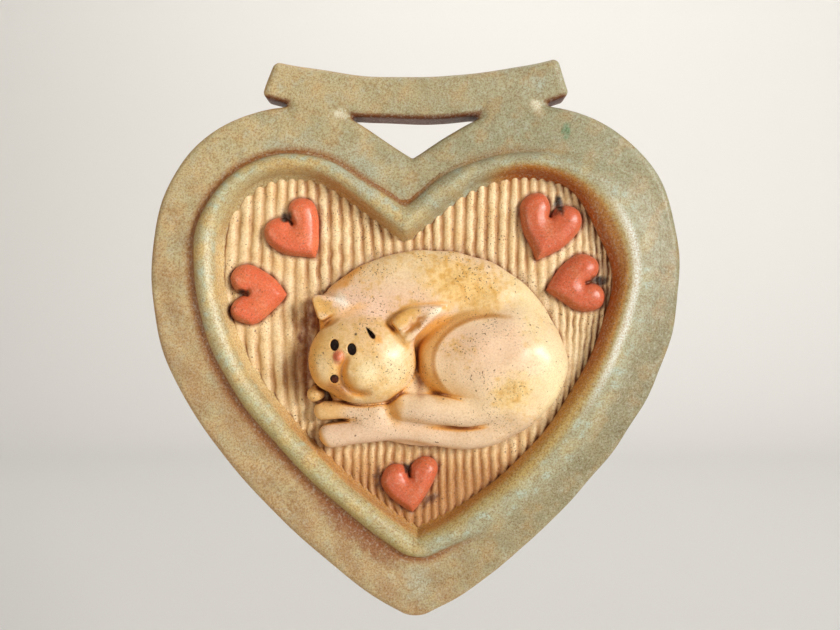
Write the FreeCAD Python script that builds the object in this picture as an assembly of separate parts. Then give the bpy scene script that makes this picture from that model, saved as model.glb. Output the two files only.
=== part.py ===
import FreeCAD, Part
import math
import os

from FreeCAD import Vector

# A heart-shaped glazed stoneware wall plaque, hung from a clay bar across its
# two lobes.  Millimetres.  +Z is up and the front faces -Y.  The back lies in
# the plane Y = 0, and the origin is the middle of the hanger bar's underside
# on that plane, where the nail or hook sits.  Every height below is measured
# forward from the back plane.

# Driving dimensions
RIM_THICK = 8.0
PANEL_THICK = 5.0
BEAD_TOP = 10.7
BEAD_HALF_WIDTH = 3.1
BEAD_SPARE = 6.0
EDGE_ROUND = 1.5
BACK_ROUND = 0.8

# Outer outline of the heart: a straight run out of the notch, two arcs round
# each lobe, and a closing arc down to the rounded point.
NOTCH = (-0.8, -8.9)
NOTCH_RISE = 32.1
NOTCH_RUN = 13.1
LOBE_LEFT = (31.3, 105.2)
FLANK_LEFT = (55.9, 48.7)
LOBE_RIGHT = (32.5, 112.5)
FLANK_RIGHT = (62.2, 41.9)
POINT_LEFT = (-3.9, -113.1)
POINT_RIGHT = (4.1, -113.0)
POINT_BOTTOM = (0.1, -114.1)

# Window of the rim, which is also the middle line of the bead coil.
WINDOW_NOTCH = (-2.4, -23.7)
WINDOW_POINT = (0.0, -98.3)
WINDOW_LEFT = {"rise": 35.1, "run": 17.4, "lobe": (20.0, 123.0), "flank": (54.2, 40.4)}
WINDOW_RIGHT = {"rise": 40.4, "run": 9.2, "lobe": (33.6, 28.3), "flank": (24.5, 115.3)}

# Comb marks in the panel
COMB_PITCH = 2.5
COMB_RADIUS = 0.6
COMB_REACH = 52.0

# Hanger bar: sagging top and underside arcs between two cut ends
BAR_TOP = ((-32.4, 13.4), (0.0, 9.7), (32.5, 14.1))
BAR_UNDER = ((-35.4, 5.3), (0.0, 0.0), (35.3, 5.4))
BAR_CORNER = 1.4
NECK_INNER = 16.2
NECK_OUTER = 28.0
NECK_SINK = 0.9

# Small applied hearts: middle of the lobes (x, z), turn in degrees from
# point-down, and width
HEART_THICK = 3.5
HEART_SHOULDER = 2.2
HEART_TOP_SCALE = 0.8
HEARTS = {
    "heart_upper_left": ((-28.8, -23.9), 38.0, 14.2),
    "heart_left": ((-38.6, -40.2), 90.0, 13.9),
    "heart_upper_right": ((30.4, -22.6), -17.0, 14.4),
    "heart_right": ((39.9, -37.6), -80.0, 13.6),
    "heart_bottom": ((-1.3, -81.1), 6.0, 13.8),
}

# Cat lumps: middle (x, z, height), half sizes (x, z, height) and turn in
# degrees.  Below its middle height a lump goes straight down.
CAT_LUMPS = {
    "cat_body": ((3.0, -52.5, 6.5), (29.0, 22.5, 6.0), 0.0),
    "cat_haunch": ((17.2, -56.6, 9.5), (17.0, 12.4, 6.0), -4.0),
    "cat_head": ((-12.2, -54.6, 10.0), (12.2, 10.2, 6.5), -10.0),
    "cat_cheek_right": ((-9.6, -58.0, 12.3), (5.2, 4.8, 4.4), 0.0),
    "cat_cheek_left": ((-20.0, -57.4, 11.0), (3.9, 3.6, 4.2), 0.0),
    "cat_forepaw_rear": ((-22.9, -62.9, 7.2), (1.8, 1.7, 2.4), 0.0),
    "cat_nose": ((-17.7, -54.6, 15.0), (1.2, 1.5, 1.5), 0.0),
    "cat_eye_left": ((-18.6, -51.6, 14.1), (1.0, 1.3, 1.3), 0.0),
    "cat_eye_right": ((-14.8, -52.6, 15.0), (0.95, 1.4, 1.3), 0.0),
    "cat_mouth": ((-18.6, -59.4, 13.5), (0.9, 1.0, 1.2), 0.0),
}
LUMP_STEPS = 6
LUMP_CROWN = 0.992

# How far below its middle each small feature is let into the head
FEATURE_DEPTH = {
    "cat_cheek_right": 1.5,
    "cat_cheek_left": 1.5,
    "cat_nose": 1.0,
    "cat_eye_left": 1.0,
    "cat_eye_right": 1.0,
    "cat_mouth": 1.0,
}

# Limbs: (x, z, height, radius) along each clay roll
CAT_ROLLS = {
    "cat_hind_foot": [
        (-2.4, -65.8, 9.8, 3.2),
        (4.0, -66.0, 10.2, 3.5),
        (12.0, -65.4, 10.2, 4.2),
        (20.0, -63.4, 9.8, 4.8),
    ],
    "cat_tail": [
        (-19.4, -72.4, 7.4, 2.8),
        (-12.0, -71.1, 7.8, 2.9),
        (-4.0, -70.9, 8.0, 2.6),
        (3.0, -71.8, 8.0, 2.6),
        (10.0, -72.7, 8.0, 2.8),
        (17.0, -71.3, 8.0, 3.2),
        (24.0, -66.4, 8.0, 3.8),
        (28.6, -59.0, 7.8, 3.6),
    ],
    "cat_forepaw_front": [
        (-21.2, -66.8, 7.3, 2.1),
        (-16.0, -66.4, 8.2, 2.0),
        (-9.0, -66.0, 9.2, 2.1),
    ],
}
ROLL_END_ANGLES = (35.0, 60.0, 80.0)

# Ears: corners (x, z), and the heights they span
CAT_EARS = {
    "cat_ear_left": (((-24.2, -40.6), (-15.4, -40.6), (-20.6, -46.4)), (8.0, 12.4)),
    "cat_ear_right": (((-6.4, -45.0), (5.2, -43.2), (-0.8, -50.8)), (11.0, 16.4)),
}
EAR_ROUND = 0.9

# Pieces of the cat from the top layer down: each keeps its whole shape, and
# the pieces after it are cut back to fit round it.
CAT_LAYERS = [
    "cat_nose",
    "cat_eye_left",
    "cat_eye_right",
    "cat_mouth",
    "cat_cheek_right",
    "cat_cheek_left",
    "cat_ear_left",
    "cat_ear_right",
    "cat_head",
    "cat_forepaw_rear",
    "cat_forepaw_front",
    "cat_tail",
    "cat_hind_foot",
    "cat_haunch",
    "cat_body",
]

FRONT = Vector(0, -1, 0)


def at(x, z, height=0.0):
    """Point at x across, z up and a height forward of the back plane."""
    return Vector(x, -height, z)


def three_point_arc(start, middle, end):
    return Part.Arc(start, middle, end).toShape()


def heart_side(notch, end, side, rise, run, lobe, flank):
    """Edges from the notch round one lobe to the end near the point.

    side is -1 for the left half and +1 for the right.  rise is the angle of
    the straight run above the level, and lobe and flank are (radius, sweep).
    """

    def place(x, z):
        return at(notch[0] + side * x, notch[1] + z)

    heading = math.radians(rise)
    x = run * math.cos(heading)
    z = run * math.sin(heading)
    edges = [Part.LineSegment(place(0.0, 0.0), place(x, z)).toShape()]
    end_x = (end[0] - notch[0]) * side
    end_z = end[1] - notch[1]
    for radius, sweep in (lobe, flank, (None, None)):
        if radius is None:
            # The last arc leaves tangent and finishes on the end point.
            gap = math.hypot(end_x - x, end_z - z)
            turn = heading - math.atan2(end_z - z, end_x - x)
            radius = gap / (2.0 * math.sin(turn))
            turn = 2.0 * turn
        else:
            turn = math.radians(sweep)
        centre_x = x + radius * math.sin(heading)
        centre_z = z - radius * math.cos(heading)
        stops = []
        for part in (0.5, 1.0):
            angle = heading - turn * part
            stops.append((centre_x - radius * math.sin(angle), centre_z + radius * math.cos(angle)))
        edges.append(three_point_arc(place(x, z), place(*stops[0]), place(*stops[1])))
        x, z = stops[1]
        heading = heading - turn
    return edges


def outer_wire():
    left = heart_side(NOTCH, POINT_LEFT, -1, NOTCH_RISE, NOTCH_RUN, LOBE_LEFT, FLANK_LEFT)
    right = heart_side(NOTCH, POINT_RIGHT, 1, NOTCH_RISE, NOTCH_RUN, LOBE_RIGHT, FLANK_RIGHT)
    tip = three_point_arc(at(*POINT_LEFT), at(*POINT_BOTTOM), at(*POINT_RIGHT))
    return Part.Wire(Part.__sortEdges__(left + [tip] + right))


def window_side(side):
    shape = WINDOW_LEFT if side < 0 else WINDOW_RIGHT
    return heart_side(
        WINDOW_NOTCH, WINDOW_POINT, side, shape["rise"], shape["run"], shape["lobe"], shape["flank"]
    )


def window_wire():
    return Part.Wire(Part.__sortEdges__(window_side(-1) + window_side(1)))


def prism(wire, low, high):
    """Solid over a wire in the back plane, from one height to another."""
    face = Part.Face(wire)
    solid = face.extrude(FRONT * (high - low))
    solid.translate(FRONT * low)
    return solid


def slab(low, high):
    """A block that covers the whole plaque between two heights."""
    block = Part.makeBox(200.0, high - low, 200.0)
    block.translate(Vector(-100.0, -high, -150.0))
    return block


def largest_solid(shape):
    return max(shape.Solids, key=lambda solid: solid.Volume)


def edges_at(shape, height):
    """Edges that lie wholly in the plane at one height."""
    found = []
    for edge in shape.Edges:
        box = edge.BoundBox
        if abs(box.YMin + height) < 0.001 and abs(box.YMax + height) < 0.001:
            found.append(edge)
    return found


def rounded_slab(wire, front_round, back_round):
    solid = prism(wire, 0.0, RIM_THICK)
    solid = solid.makeFillet(front_round, edges_at(solid, RIM_THICK))
    return solid.makeFillet(back_round, edges_at(solid, 0.0))


def bar_wire():
    top_left, top_middle, top_right = (at(*point) for point in BAR_TOP)
    under_left, under_middle, under_right = (at(*point) for point in BAR_UNDER)
    return Part.Wire(
        [
            three_point_arc(top_left, top_middle, top_right),
            Part.LineSegment(top_right, under_right).toShape(),
            three_point_arc(under_right, under_middle, under_left),
            Part.LineSegment(under_left, top_left).toShape(),
        ]
    )


def hanger_bar():
    solid = prism(bar_wire(), 0.0, RIM_THICK)
    corners = [edge for edge in solid.Edges if edge.BoundBox.YLength > RIM_THICK - 0.01]
    solid = solid.makeFillet(BAR_CORNER, corners)
    solid = solid.makeFillet(EDGE_ROUND, edges_at(solid, RIM_THICK))
    return solid.makeFillet(BACK_ROUND, edges_at(solid, 0.0))


def lobe_top(x, side):
    """Height z of the outer outline over a lobe at x."""
    radius = LOBE_LEFT[0] if side < 0 else LOBE_RIGHT[0]
    heading = math.radians(NOTCH_RISE)
    centre_x = NOTCH_RUN * math.cos(heading) + radius * math.sin(heading)
    centre_z = NOTCH_RUN * math.sin(heading) - radius * math.cos(heading)
    across = (x - NOTCH[0]) * side - centre_x
    return NOTCH[1] + centre_z + math.sqrt(radius**2 - across**2)


def bar_under(x):
    """Height z of the bar's underside arc at x."""
    (left_x, left_z), (middle_x, middle_z), (right_x, right_z) = BAR_UNDER
    reach = (right_x - left_x) / 2.0
    return middle_z + (left_z + right_z) / 2.0 * (x / reach) ** 2


def hanger_neck(side):
    """Clay pad that joins a lobe to the bar, let a little into both."""
    inner = side * NECK_INNER
    outer = side * NECK_OUTER
    corners = [
        (inner, lobe_top(inner, side) - NECK_SINK),
        (outer, lobe_top(outer, side) - NECK_SINK),
        (outer, bar_under(outer) + NECK_SINK),
        (inner, bar_under(inner) + NECK_SINK),
    ]
    points = [at(*corner) for corner in corners]
    return prism(Part.makePolygon(points + points[:1]), 0.0, RIM_THICK - 0.2)


def combed_panel():
    solid = prism(window_wire(), 0.0, PANEL_THICK)
    grooves = []
    count = int(COMB_REACH / COMB_PITCH)
    for index in range(-count, count + 1):
        groove = Part.makeCylinder(COMB_RADIUS, 90.0, at(index * COMB_PITCH, -104.0, PANEL_THICK))
        grooves.append(groove)
    return largest_solid(solid.cut(grooves))


def bead_side(side):
    """One bead coil, swept down its side of the window and mitred at both ends."""
    edges = window_side(side)
    first = edges[0]
    last = edges[-1]
    here = at(*WINDOW_NOTCH)
    along = (first.valueAt(first.LastParameter) - here).normalize()
    finish = at(*WINDOW_POINT)
    leaving = last.tangentAt(last.LastParameter)
    if leaving.z > 0:
        leaving = leaving * -1.0
    start = here - along * BEAD_SPARE
    lead = Part.LineSegment(start, first.valueAt(first.LastParameter)).toShape()
    tail = Part.LineSegment(finish, finish + leaving * BEAD_SPARE).toShape()
    spine = Part.Wire([lead] + edges[1:] + [tail])
    inward = FRONT.cross(along) * side
    over_rim = start - inward * BEAD_HALF_WIDTH + FRONT * RIM_THICK
    crest = start + FRONT * BEAD_TOP
    on_panel = start + inward * BEAD_HALF_WIDTH + FRONT * PANEL_THICK
    shoulder = start + inward * BEAD_HALF_WIDTH * 0.8 + FRONT * (RIM_THICK + 0.6)
    rim_corner = start + FRONT * RIM_THICK
    foot = start + FRONT * PANEL_THICK
    profile = Part.Wire(
        [
            three_point_arc(over_rim, crest, shoulder),
            Part.LineSegment(shoulder, on_panel).toShape(),
            Part.LineSegment(on_panel, foot).toShape(),
            Part.LineSegment(foot, rim_corner).toShape(),
            Part.LineSegment(rim_corner, over_rim).toShape(),
        ]
    )
    swept = spine.makePipeShell([profile], True, False)
    return largest_solid(swept.common(mitre_half(side)))


def mitre_half(side):
    """Block on one side of the plane through the window's notch and point."""
    top = at(*WINDOW_NOTCH)
    bottom = at(*WINDOW_POINT)
    along = (top - bottom).normalize()
    out = Vector(side, 0, 0)
    corners = [top + along * 40.0, bottom - along * 40.0]
    corners += [corners[1] + out * 90.0, corners[0] + out * 90.0]
    return prism(Part.makePolygon(corners + corners[:1]), 0.0, 20.0)


def small_heart_wire(middle, turn, width, height):
    """Outline of an applied heart: two lobe arcs and two bowed sides."""
    radius = width * 0.265
    offset = width * 0.235
    notch = width * 0.10
    tip = width * 0.66
    side_x = offset + radius * math.cos(math.radians(25.0))
    side_z = -radius * math.sin(math.radians(25.0))
    turned = math.radians(turn)

    def place(x, z):
        return at(
            middle[0] + x * math.cos(turned) - z * math.sin(turned),
            middle[1] + x * math.sin(turned) + z * math.cos(turned),
            height,
        )

    edges = []
    for side in (-1, 1):
        top = place(side * offset * 1.05, radius)
        shoulder = place(side * side_x, side_z)
        bow = place(side * (side_x * 0.60), (side_z - tip) * 0.5 - width * 0.02)
        edges.append(three_point_arc(place(0.0, notch), top, shoulder))
        edges.append(three_point_arc(shoulder, bow, place(0.0, -tip)))
    return Part.Wire(Part.__sortEdges__(edges))


def small_heart(middle, turn, width):
    """Applied heart: upright to a shoulder, then drawn in to a smaller top."""
    sections = [
        small_heart_wire(middle, turn, width, PANEL_THICK),
        small_heart_wire(middle, turn, width, PANEL_THICK + HEART_SHOULDER),
        small_heart_wire(middle, turn, width * HEART_TOP_SCALE, PANEL_THICK + HEART_THICK),
    ]
    return Part.makeLoft(sections, True, True)


def lump(middle, half, turn, base):
    """Lump of clay: an upright oval below its middle and a dome above it."""
    x, z, middle_height = middle
    half_x, half_z, half_height = half
    turned = math.radians(turn)
    across = Vector(math.cos(turned), 0.0, math.sin(turned))
    along = Vector(-math.sin(turned), 0.0, math.cos(turned))

    def oval(height, spread):
        centre = at(x, z, height)
        wide = across * half_x * spread
        tall = along * half_z * spread
        if half_x > half_z:
            return Part.Wire(Part.Ellipse(centre + wide, centre + tall, centre).toShape())
        return Part.Wire(Part.Ellipse(centre + tall, centre - wide, centre).toShape())

    foot = Part.Face(oval(base, 1.0)).extrude(FRONT * (middle_height - base))
    sections = []
    for step in range(LUMP_STEPS + 1):
        rise = LUMP_CROWN * math.sin(math.pi / 2.0 * step / LUMP_STEPS)
        sections.append(oval(middle_height + half_height * rise, math.sqrt(1.0 - rise**2)))
    return foot.fuse(Part.makeLoft(sections, True)).removeSplitter()


def cat_roll(stations):
    """Roll of clay through circles at its stations, drawn in at both ends."""
    centres = [at(x, z, height) for x, z, height, radius in stations]
    radii = [station[3] for station in stations]
    sections = []
    for index, centre in enumerate(centres):
        before = centres[max(index - 1, 0)]
        after = centres[min(index + 1, len(centres) - 1)]
        along = (after - before).normalize()
        circle = Part.makeCircle(radii[index], centre, along)
        sections.append(Part.Wire(circle))
        if index in (0, len(centres) - 1):
            out = along * (-1.0 if index == 0 else 1.0)
            caps = []
            for angle in ROLL_END_ANGLES:
                reach = radii[index] * math.sin(math.radians(angle))
                radius = radii[index] * math.cos(math.radians(angle))
                caps.append(Part.Wire(Part.makeCircle(radius, centre + out * reach, along)))
            sections = list(reversed(caps)) + sections if index == 0 else sections + caps
    return Part.makeLoft(sections, True)


def cat_ear(corners, heights):
    points = [at(x, z) for x, z in corners]
    solid = prism(Part.makePolygon(points + points[:1]), *heights)
    return solid.makeFillet(EAR_ROUND, solid.Edges)


def cat_pieces():
    shapes = {}
    for name, (middle, half, turn) in CAT_LUMPS.items():
        base = PANEL_THICK
        if name in FEATURE_DEPTH:
            base = middle[2] - FEATURE_DEPTH[name]
        shapes[name] = lump(middle, half, turn, base)
    for name, stations in CAT_ROLLS.items():
        shapes[name] = cat_roll(stations)
    for name, (corners, heights) in CAT_EARS.items():
        shapes[name] = cat_ear(corners, heights)

    above_panel = slab(PANEL_THICK, 40.0)
    pieces = {}
    for index, name in enumerate(CAT_LAYERS):
        solid = shapes[name].common(above_panel)
        for upper in CAT_LAYERS[:index]:
            if solid.BoundBox.intersect(shapes[upper].BoundBox):
                solid = solid.cut(shapes[upper])
        pieces[name] = largest_solid(solid)
    return pieces


def plaque_pieces():
    necks = {"hanger_neck_left": hanger_neck(-1), "hanger_neck_right": hanger_neck(1)}
    window = prism(window_wire(), -1.0, RIM_THICK + 1.0)
    rim = rounded_slab(outer_wire(), EDGE_ROUND, BACK_ROUND).cut([window] + list(necks.values()))
    bar = hanger_bar().cut(list(necks.values()) + [rim])
    pieces = {
        "rim_frame": largest_solid(rim),
        "combed_panel": combed_panel(),
        "bead_coil_left": bead_side(-1),
        "bead_coil_right": bead_side(1),
        "hanger_bar": largest_solid(bar),
    }
    pieces.update(necks)
    for name, (middle, turn, width) in HEARTS.items():
        pieces[name] = small_heart(middle, turn, width)
    pieces.update(cat_pieces())
    return pieces


os.makedirs("parts", exist_ok=True)
for node, piece in plaque_pieces().items():
    piece.exportStep("parts/" + node + ".step")
    print(node, piece.ShapeType, piece.isValid(), round(piece.Volume, 1))
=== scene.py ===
import functools
import math

import bpy
import numpy as np
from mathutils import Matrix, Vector


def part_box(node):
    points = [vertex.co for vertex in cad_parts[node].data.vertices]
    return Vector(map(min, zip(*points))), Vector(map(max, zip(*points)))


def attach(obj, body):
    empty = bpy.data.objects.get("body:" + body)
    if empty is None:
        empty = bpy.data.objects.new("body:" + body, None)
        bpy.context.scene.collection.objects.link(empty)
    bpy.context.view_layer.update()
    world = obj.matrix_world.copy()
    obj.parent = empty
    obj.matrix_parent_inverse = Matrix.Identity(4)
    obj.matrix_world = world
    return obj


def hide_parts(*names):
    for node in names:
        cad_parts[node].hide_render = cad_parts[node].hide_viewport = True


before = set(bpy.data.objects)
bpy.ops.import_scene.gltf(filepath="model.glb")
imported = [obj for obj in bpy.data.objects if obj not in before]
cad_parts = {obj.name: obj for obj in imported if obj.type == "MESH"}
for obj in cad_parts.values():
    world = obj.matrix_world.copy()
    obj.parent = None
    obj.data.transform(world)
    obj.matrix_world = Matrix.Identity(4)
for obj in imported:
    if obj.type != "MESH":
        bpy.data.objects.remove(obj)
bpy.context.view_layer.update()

# A heart-shaped stoneware plaque.  Shapes are worked out in millimetres as
# (x across, z up, h forward of the back plane), and meshes are made in metres
# with y = -h.  Every shape is a field: negative inside the clay, positive
# outside, and close to the true distance near the surface.
MM = 0.001

# ---- Sizes, as the CAD solids have them
RIM_THICK = 8.0
PANEL_THICK = 5.0
BEAD_MIDDLE = 5.5
BEAD_RISE = 5.2
BEAD_HALF_WIDTH = 3.1
FRONT_ROUND = 1.7
BACK_ROUND = 0.9

NOTCH = (-0.8, -8.9)
POINT = (0.1, -115.2)
OUTER_SIDES = {
    -1: {"rise": 32.1, "run": 13.1, "arcs": ((31.3, 105.2), (55.9, 48.7))},
    1: {"rise": 32.1, "run": 13.1, "arcs": ((32.5, 112.5), (62.2, 41.9))},
}
WINDOW_NOTCH = (-2.4, -23.7)
WINDOW_POINT = (0.0, -98.3)
WINDOW_SIDES = {
    -1: {"rise": 35.1, "run": 17.4, "arcs": ((20.0, 123.0), (54.2, 40.4))},
    1: {"rise": 40.4, "run": 9.2, "arcs": ((33.6, 28.3), (24.5, 115.3))},
}
BAR_TOP = ((-32.4, 13.4), (0.0, 9.7), (32.5, 14.1))
BAR_UNDER = ((-35.4, 5.3), (0.0, 0.0), (35.3, 5.4))

# Middle of the two lobes, turn in degrees, width, stretch along the heart, and how far
# one lobe stands above the other
HEARTS = {
    "heart_upper_left": ((-28.9, -23.8), 36.0, 14.3, 1.03, 0.09),
    "heart_left": ((-39.1, -40.2), 92.0, 14.2, 1.02, -0.03),
    "heart_upper_right": ((31.1, -22.1), -18.0, 14.9, 1.09, -0.05),
    "heart_right": ((39.4, -37.5), -80.0, 13.6, 1.06, 0.02),
    "heart_bottom": ((-1.6, -81.8), 6.0, 13.5, 0.97, 0.12),
}
# Near-black patches in the notch of each heart: middle and half sizes
NOTCH_DARKS = (
    ((-29.6, -22.4), (1.4, 0.9)),
    ((33.0, -19.6), (1.0, 2.0)),
    ((42.4, -36.9), (1.9, 0.9)),
    ((-1.9, -80.2), (0.8, 0.9)),
    ((-39.9, -39.8), (1.3, 0.7)),
)

# Middle (x, z, h), half sizes, turn in degrees.  Walls are upright below the middle.
CAT_LUMPS = {
    "cat_body": ((3.0, -52.5, 6.5), (29.0, 22.5, 6.0), 0.0),
    "cat_haunch": ((16.9, -55.6, 9.0), (16.6, 11.2, 7.2), -4.0),
    "cat_head": ((-12.0, -54.9, 9.4), (12.0, 10.2, 7.2), -10.0),
    "cat_cheek_right": ((-11.9, -57.7, 12.5), (4.2, 4.1, 4.5), 0.0),
    "cat_cheek_left": ((-20.0, -57.2, 10.6), (3.5, 3.9, 4.3), 0.0),
    "cat_forepaw_rear": ((-22.9, -62.9, 7.2), (1.9, 1.8, 2.6), 0.0),
    "cat_nose": ((-16.9, -54.1, 14.6), (1.2, 1.5, 2.0), 0.0),
}
# Middle (x, z) and half sizes of each hole in the face, and its turn in degrees
CAT_PITS = {
    "cat_eye_left": ((-17.9, -51.5), (1.0, 1.3), 0.0),
    "cat_eye_right": ((-14.0, -52.4), (1.0, 1.35), 8.0),
    "cat_mouth": ((-18.0, -59.0), (0.95, 1.0), 0.0),
}
PIT_DEPTH = 1.2
# The haunch again, as the thigh on top and the fold of the flank that shows round it
THIGH = ((18.2, -55.8, 9.0), (14.4, 10.7, 7.2), -4.0)
FLANK = ((16.9, -55.6, 8.6), (16.6, 11.2, 6.1), -4.0)
# Rows of balls (x, z, h, radius) that a roll passes through
CAT_ROLLS = {
    "cat_hind_foot": ((-2.4, -65.6, 10.0, 3.1), (4.0, -66.1, 10.7, 3.3), (12.0, -66.6, 10.3, 3.4),
                      (20.0, -64.6, 9.2, 4.2)),
    "cat_tail": ((-19.4, -72.4, 7.4, 2.8), (-12.0, -71.1, 7.8, 2.9), (-4.0, -70.9, 8.0, 2.6),
                 (3.0, -71.8, 8.0, 2.6), (10.0, -72.7, 8.0, 2.8), (17.0, -71.3, 8.0, 3.2),
                 (24.0, -66.4, 8.0, 3.8), (28.6, -59.0, 7.8, 3.6)),
    "cat_forepaw_front": ((-21.2, -66.7, 7.3, 2.1), (-16.0, -66.6, 8.1, 2.1), (-9.0, -67.3, 8.4, 3.2)),
}
# Corners of each ear, its low and high h, and its hollow: middle, half sizes, turn
CAT_EARS = {
    "cat_ear_left": (((-23.8, -40.3), (-19.0, -40.4), (-15.0, -42.2), (-21.6, -46.8)), 8.0, 12.6,
                     ((-20.9, -42.8, 13.2), (2.7, 1.3, 1.7), -24.0)),
    "cat_ear_right": (((-5.9, -46.2), (-2.2, -43.0), (6.4, -43.3), (-1.5, -51.0)), 10.0, 15.2,
                      ((-0.4, -47.0, 16.0), (3.9, 1.5, 2.6), 40.0)),
}


def node_box(node):
    """Low and high corners of a CAD node as (x, z, h) in millimetres."""
    low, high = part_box(node)
    return (
        np.array((low.x, low.z, -high.y)) / MM,
        np.array((high.x, high.z, -low.y)) / MM,
    )


# ---- Field helpers
def blend_min(first, second, blend):
    """Union of two fields with a fillet about as wide as blend."""
    share = np.clip(0.5 + 0.5 * (second - first) / blend, 0.0, 1.0)
    return second + (first - second) * share - blend * share * (1.0 - share)


def blend_max(first, second, blend):
    """Intersection of two fields with an inside edge about as round as blend."""
    return -blend_min(-first, -second, blend)


def ease(value, low, high):
    """0 at low and 1 at high, easing in between; low may be the greater."""
    share = np.clip((value - low) / (high - low), 0.0, 1.0)
    return share * share * (3.0 - 2.0 * share)


def least(fields):
    """Union of several fields with sharp seams."""
    return functools.reduce(np.minimum, fields)


def turned(x, z, middle, turn):
    """Place about a middle, along axes turned by some degrees."""
    angle = math.radians(turn)
    dx, dz = x - middle[0], z - middle[1]
    return dx * math.cos(angle) + dz * math.sin(angle), dz * math.cos(angle) - dx * math.sin(angle)


def rounded_and(first, second, radius):
    """Intersection of two fields with an edge of the given radius."""
    a, b = first + radius, second + radius
    outside = np.hypot(np.maximum(a, 0.0), np.maximum(b, 0.0))
    return np.minimum(np.maximum(a, b), 0.0) + outside - radius


def waves(seed, wavelength, count=9):
    """Smooth repeatable unevenness over (x, z), about -1 to 1."""
    random = np.random.default_rng(seed)
    turns = random.uniform(0.0, 2.0 * math.pi, count)
    numbers = 2.0 * math.pi / (wavelength * random.uniform(0.7, 1.5, count))
    phases = random.uniform(0.0, 2.0 * math.pi, count)

    def value(x, z):
        total = 0.0
        for turn, number, phase in zip(turns, numbers, phases):
            total = total + np.sin(number * (x * math.cos(turn) + z * math.sin(turn)) + phase)
        return total / math.sqrt(count)

    return value


# ---- Heart outlines: straight runs and arcs
def line_distance(x, z, start, end):
    """Distance to a straight run, and how far inside (to its right) a point is."""
    dx, dz = end[0] - start[0], end[1] - start[1]
    length = math.hypot(dx, dz)
    dx, dz = dx / length, dz / length
    along = np.clip((x - start[0]) * dx + (z - start[1]) * dz, 0.0, length)
    gap = np.hypot(x - start[0] - along * dx, z - start[1] - along * dz)
    side = (x - start[0]) * dz - (z - start[1]) * dx
    return gap, -side


def arc_distance(x, z, centre, radius, start, end):
    """Distance to an arc that runs clockwise from start to end."""
    first = math.atan2(start[1] - centre[1], start[0] - centre[0])
    last = math.atan2(end[1] - centre[1], end[0] - centre[0])
    half = ((first - last) % (2.0 * math.pi)) / 2.0
    middle = first - half
    dx, dz = x - centre[0], z - centre[1]
    away = np.hypot(dx, dz)
    swing = np.abs((np.arctan2(dz, dx) - middle + math.pi) % (2.0 * math.pi) - math.pi)
    ends = np.minimum(np.hypot(x - start[0], z - start[1]), np.hypot(x - end[0], z - end[1]))
    return np.where(swing <= half, np.abs(away - radius), ends), away - radius


def heart_side(notch, point, shape):
    """Field of one half outline, in its own frame with x outward from the notch."""
    reach = 60.0
    heading = math.radians(shape["rise"])
    run = shape["run"]
    x, z = run * math.cos(heading), run * math.sin(heading)
    pieces = [("line", (-reach * math.cos(heading), -reach * math.sin(heading)), (x, z))]
    end_x, end_z = point[0] - notch[0], point[1] - notch[1]
    for radius, sweep in shape["arcs"] + ((None, None),):
        turn = math.radians(sweep) if sweep else 0.0
        if radius is None:
            gap = math.hypot(end_x - x, end_z - z)
            turn = heading - math.atan2(end_z - z, end_x - x)
            radius = gap / (2.0 * math.sin(turn))
            turn *= 2.0
        centre = (x + radius * math.sin(heading), z - radius * math.cos(heading))
        start = (x, z)
        heading -= turn
        x = centre[0] - radius * math.sin(heading)
        z = centre[1] + radius * math.cos(heading)
        pieces.append(("arc", centre, radius, start, (x, z)))
    pieces.append(("line", (x, z), (x + reach * math.cos(heading), z + reach * math.sin(heading))))

    def field(x, z):
        nearest = None
        for kind, *values in pieces:
            if kind == "line":
                gap, side = line_distance(x, z, *values)
            else:
                gap, side = arc_distance(x, z, *values)
            if nearest is None:
                nearest, sign = gap, side
            else:
                sign = np.where(gap < nearest, side, sign)
                nearest = np.minimum(nearest, gap)
        return np.where(sign > 0.0, nearest, -nearest)

    return field


# The halves of an outline meet within this distance of the middle line, at the
# notch above this height and at the point below it
MEETING = 12.0
MID_HEIGHT = -45.0


def heart_outline(notch, point, sides, notch_round, tip_round):
    """Field of a whole heart: left and right halves that meet at notch and point."""
    halves = []
    for side in (-1, 1):
        mirrored = (notch[0] + (point[0] - notch[0]) * side, point[1])
        halves.append((side, heart_side(notch, mirrored, sides[side])))

    def field(x, z):
        left, right = [half((x - notch[0]) * side, z - notch[1]) for side, half in halves]
        upper = blend_min(left, right, notch_round)
        lower = rounded_and(left, right, tip_round)
        middle = np.where(z > MID_HEIGHT, upper, lower)
        return np.where(x < -MEETING, left, np.where(x > MEETING, right, middle))

    return field


outer = heart_outline(NOTCH, POINT, OUTER_SIDES, 0.3, 3.3)
window = heart_outline(WINDOW_NOTCH, WINDOW_POINT, WINDOW_SIDES, 1.6, 1.1)


def circle_through(first, middle, last):
    """Centre and radius of the circle through three points."""
    (ax, az), (bx, bz), (cx, cz) = first, middle, last
    scale = 2.0 * (ax * (bz - cz) + bx * (cz - az) + cx * (az - bz))
    a, b, c = ax**2 + az**2, bx**2 + bz**2, cx**2 + cz**2
    x = (a * (bz - cz) + b * (cz - az) + c * (az - bz)) / scale
    z = (a * (cx - bx) + b * (ax - cx) + c * (bx - ax)) / scale
    return (x, z), math.hypot(ax - x, az - z)


# ---- Slab, bead and bar
edge_wobble = waves(3, 16.0)
face_wobble = waves(4, 22.0)
bead_wobble = waves(5, 13.0)


def thick(flat, h, low, high, front_round, back_round):
    """A flat shape given thickness, with rounded front and back edges."""
    middle = (low + high) / 2.0
    half = (high - low) / 2.0
    radius = np.where(h > middle, front_round, back_round)
    return rounded_and(flat, np.abs(h - middle) - half, radius)


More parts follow.
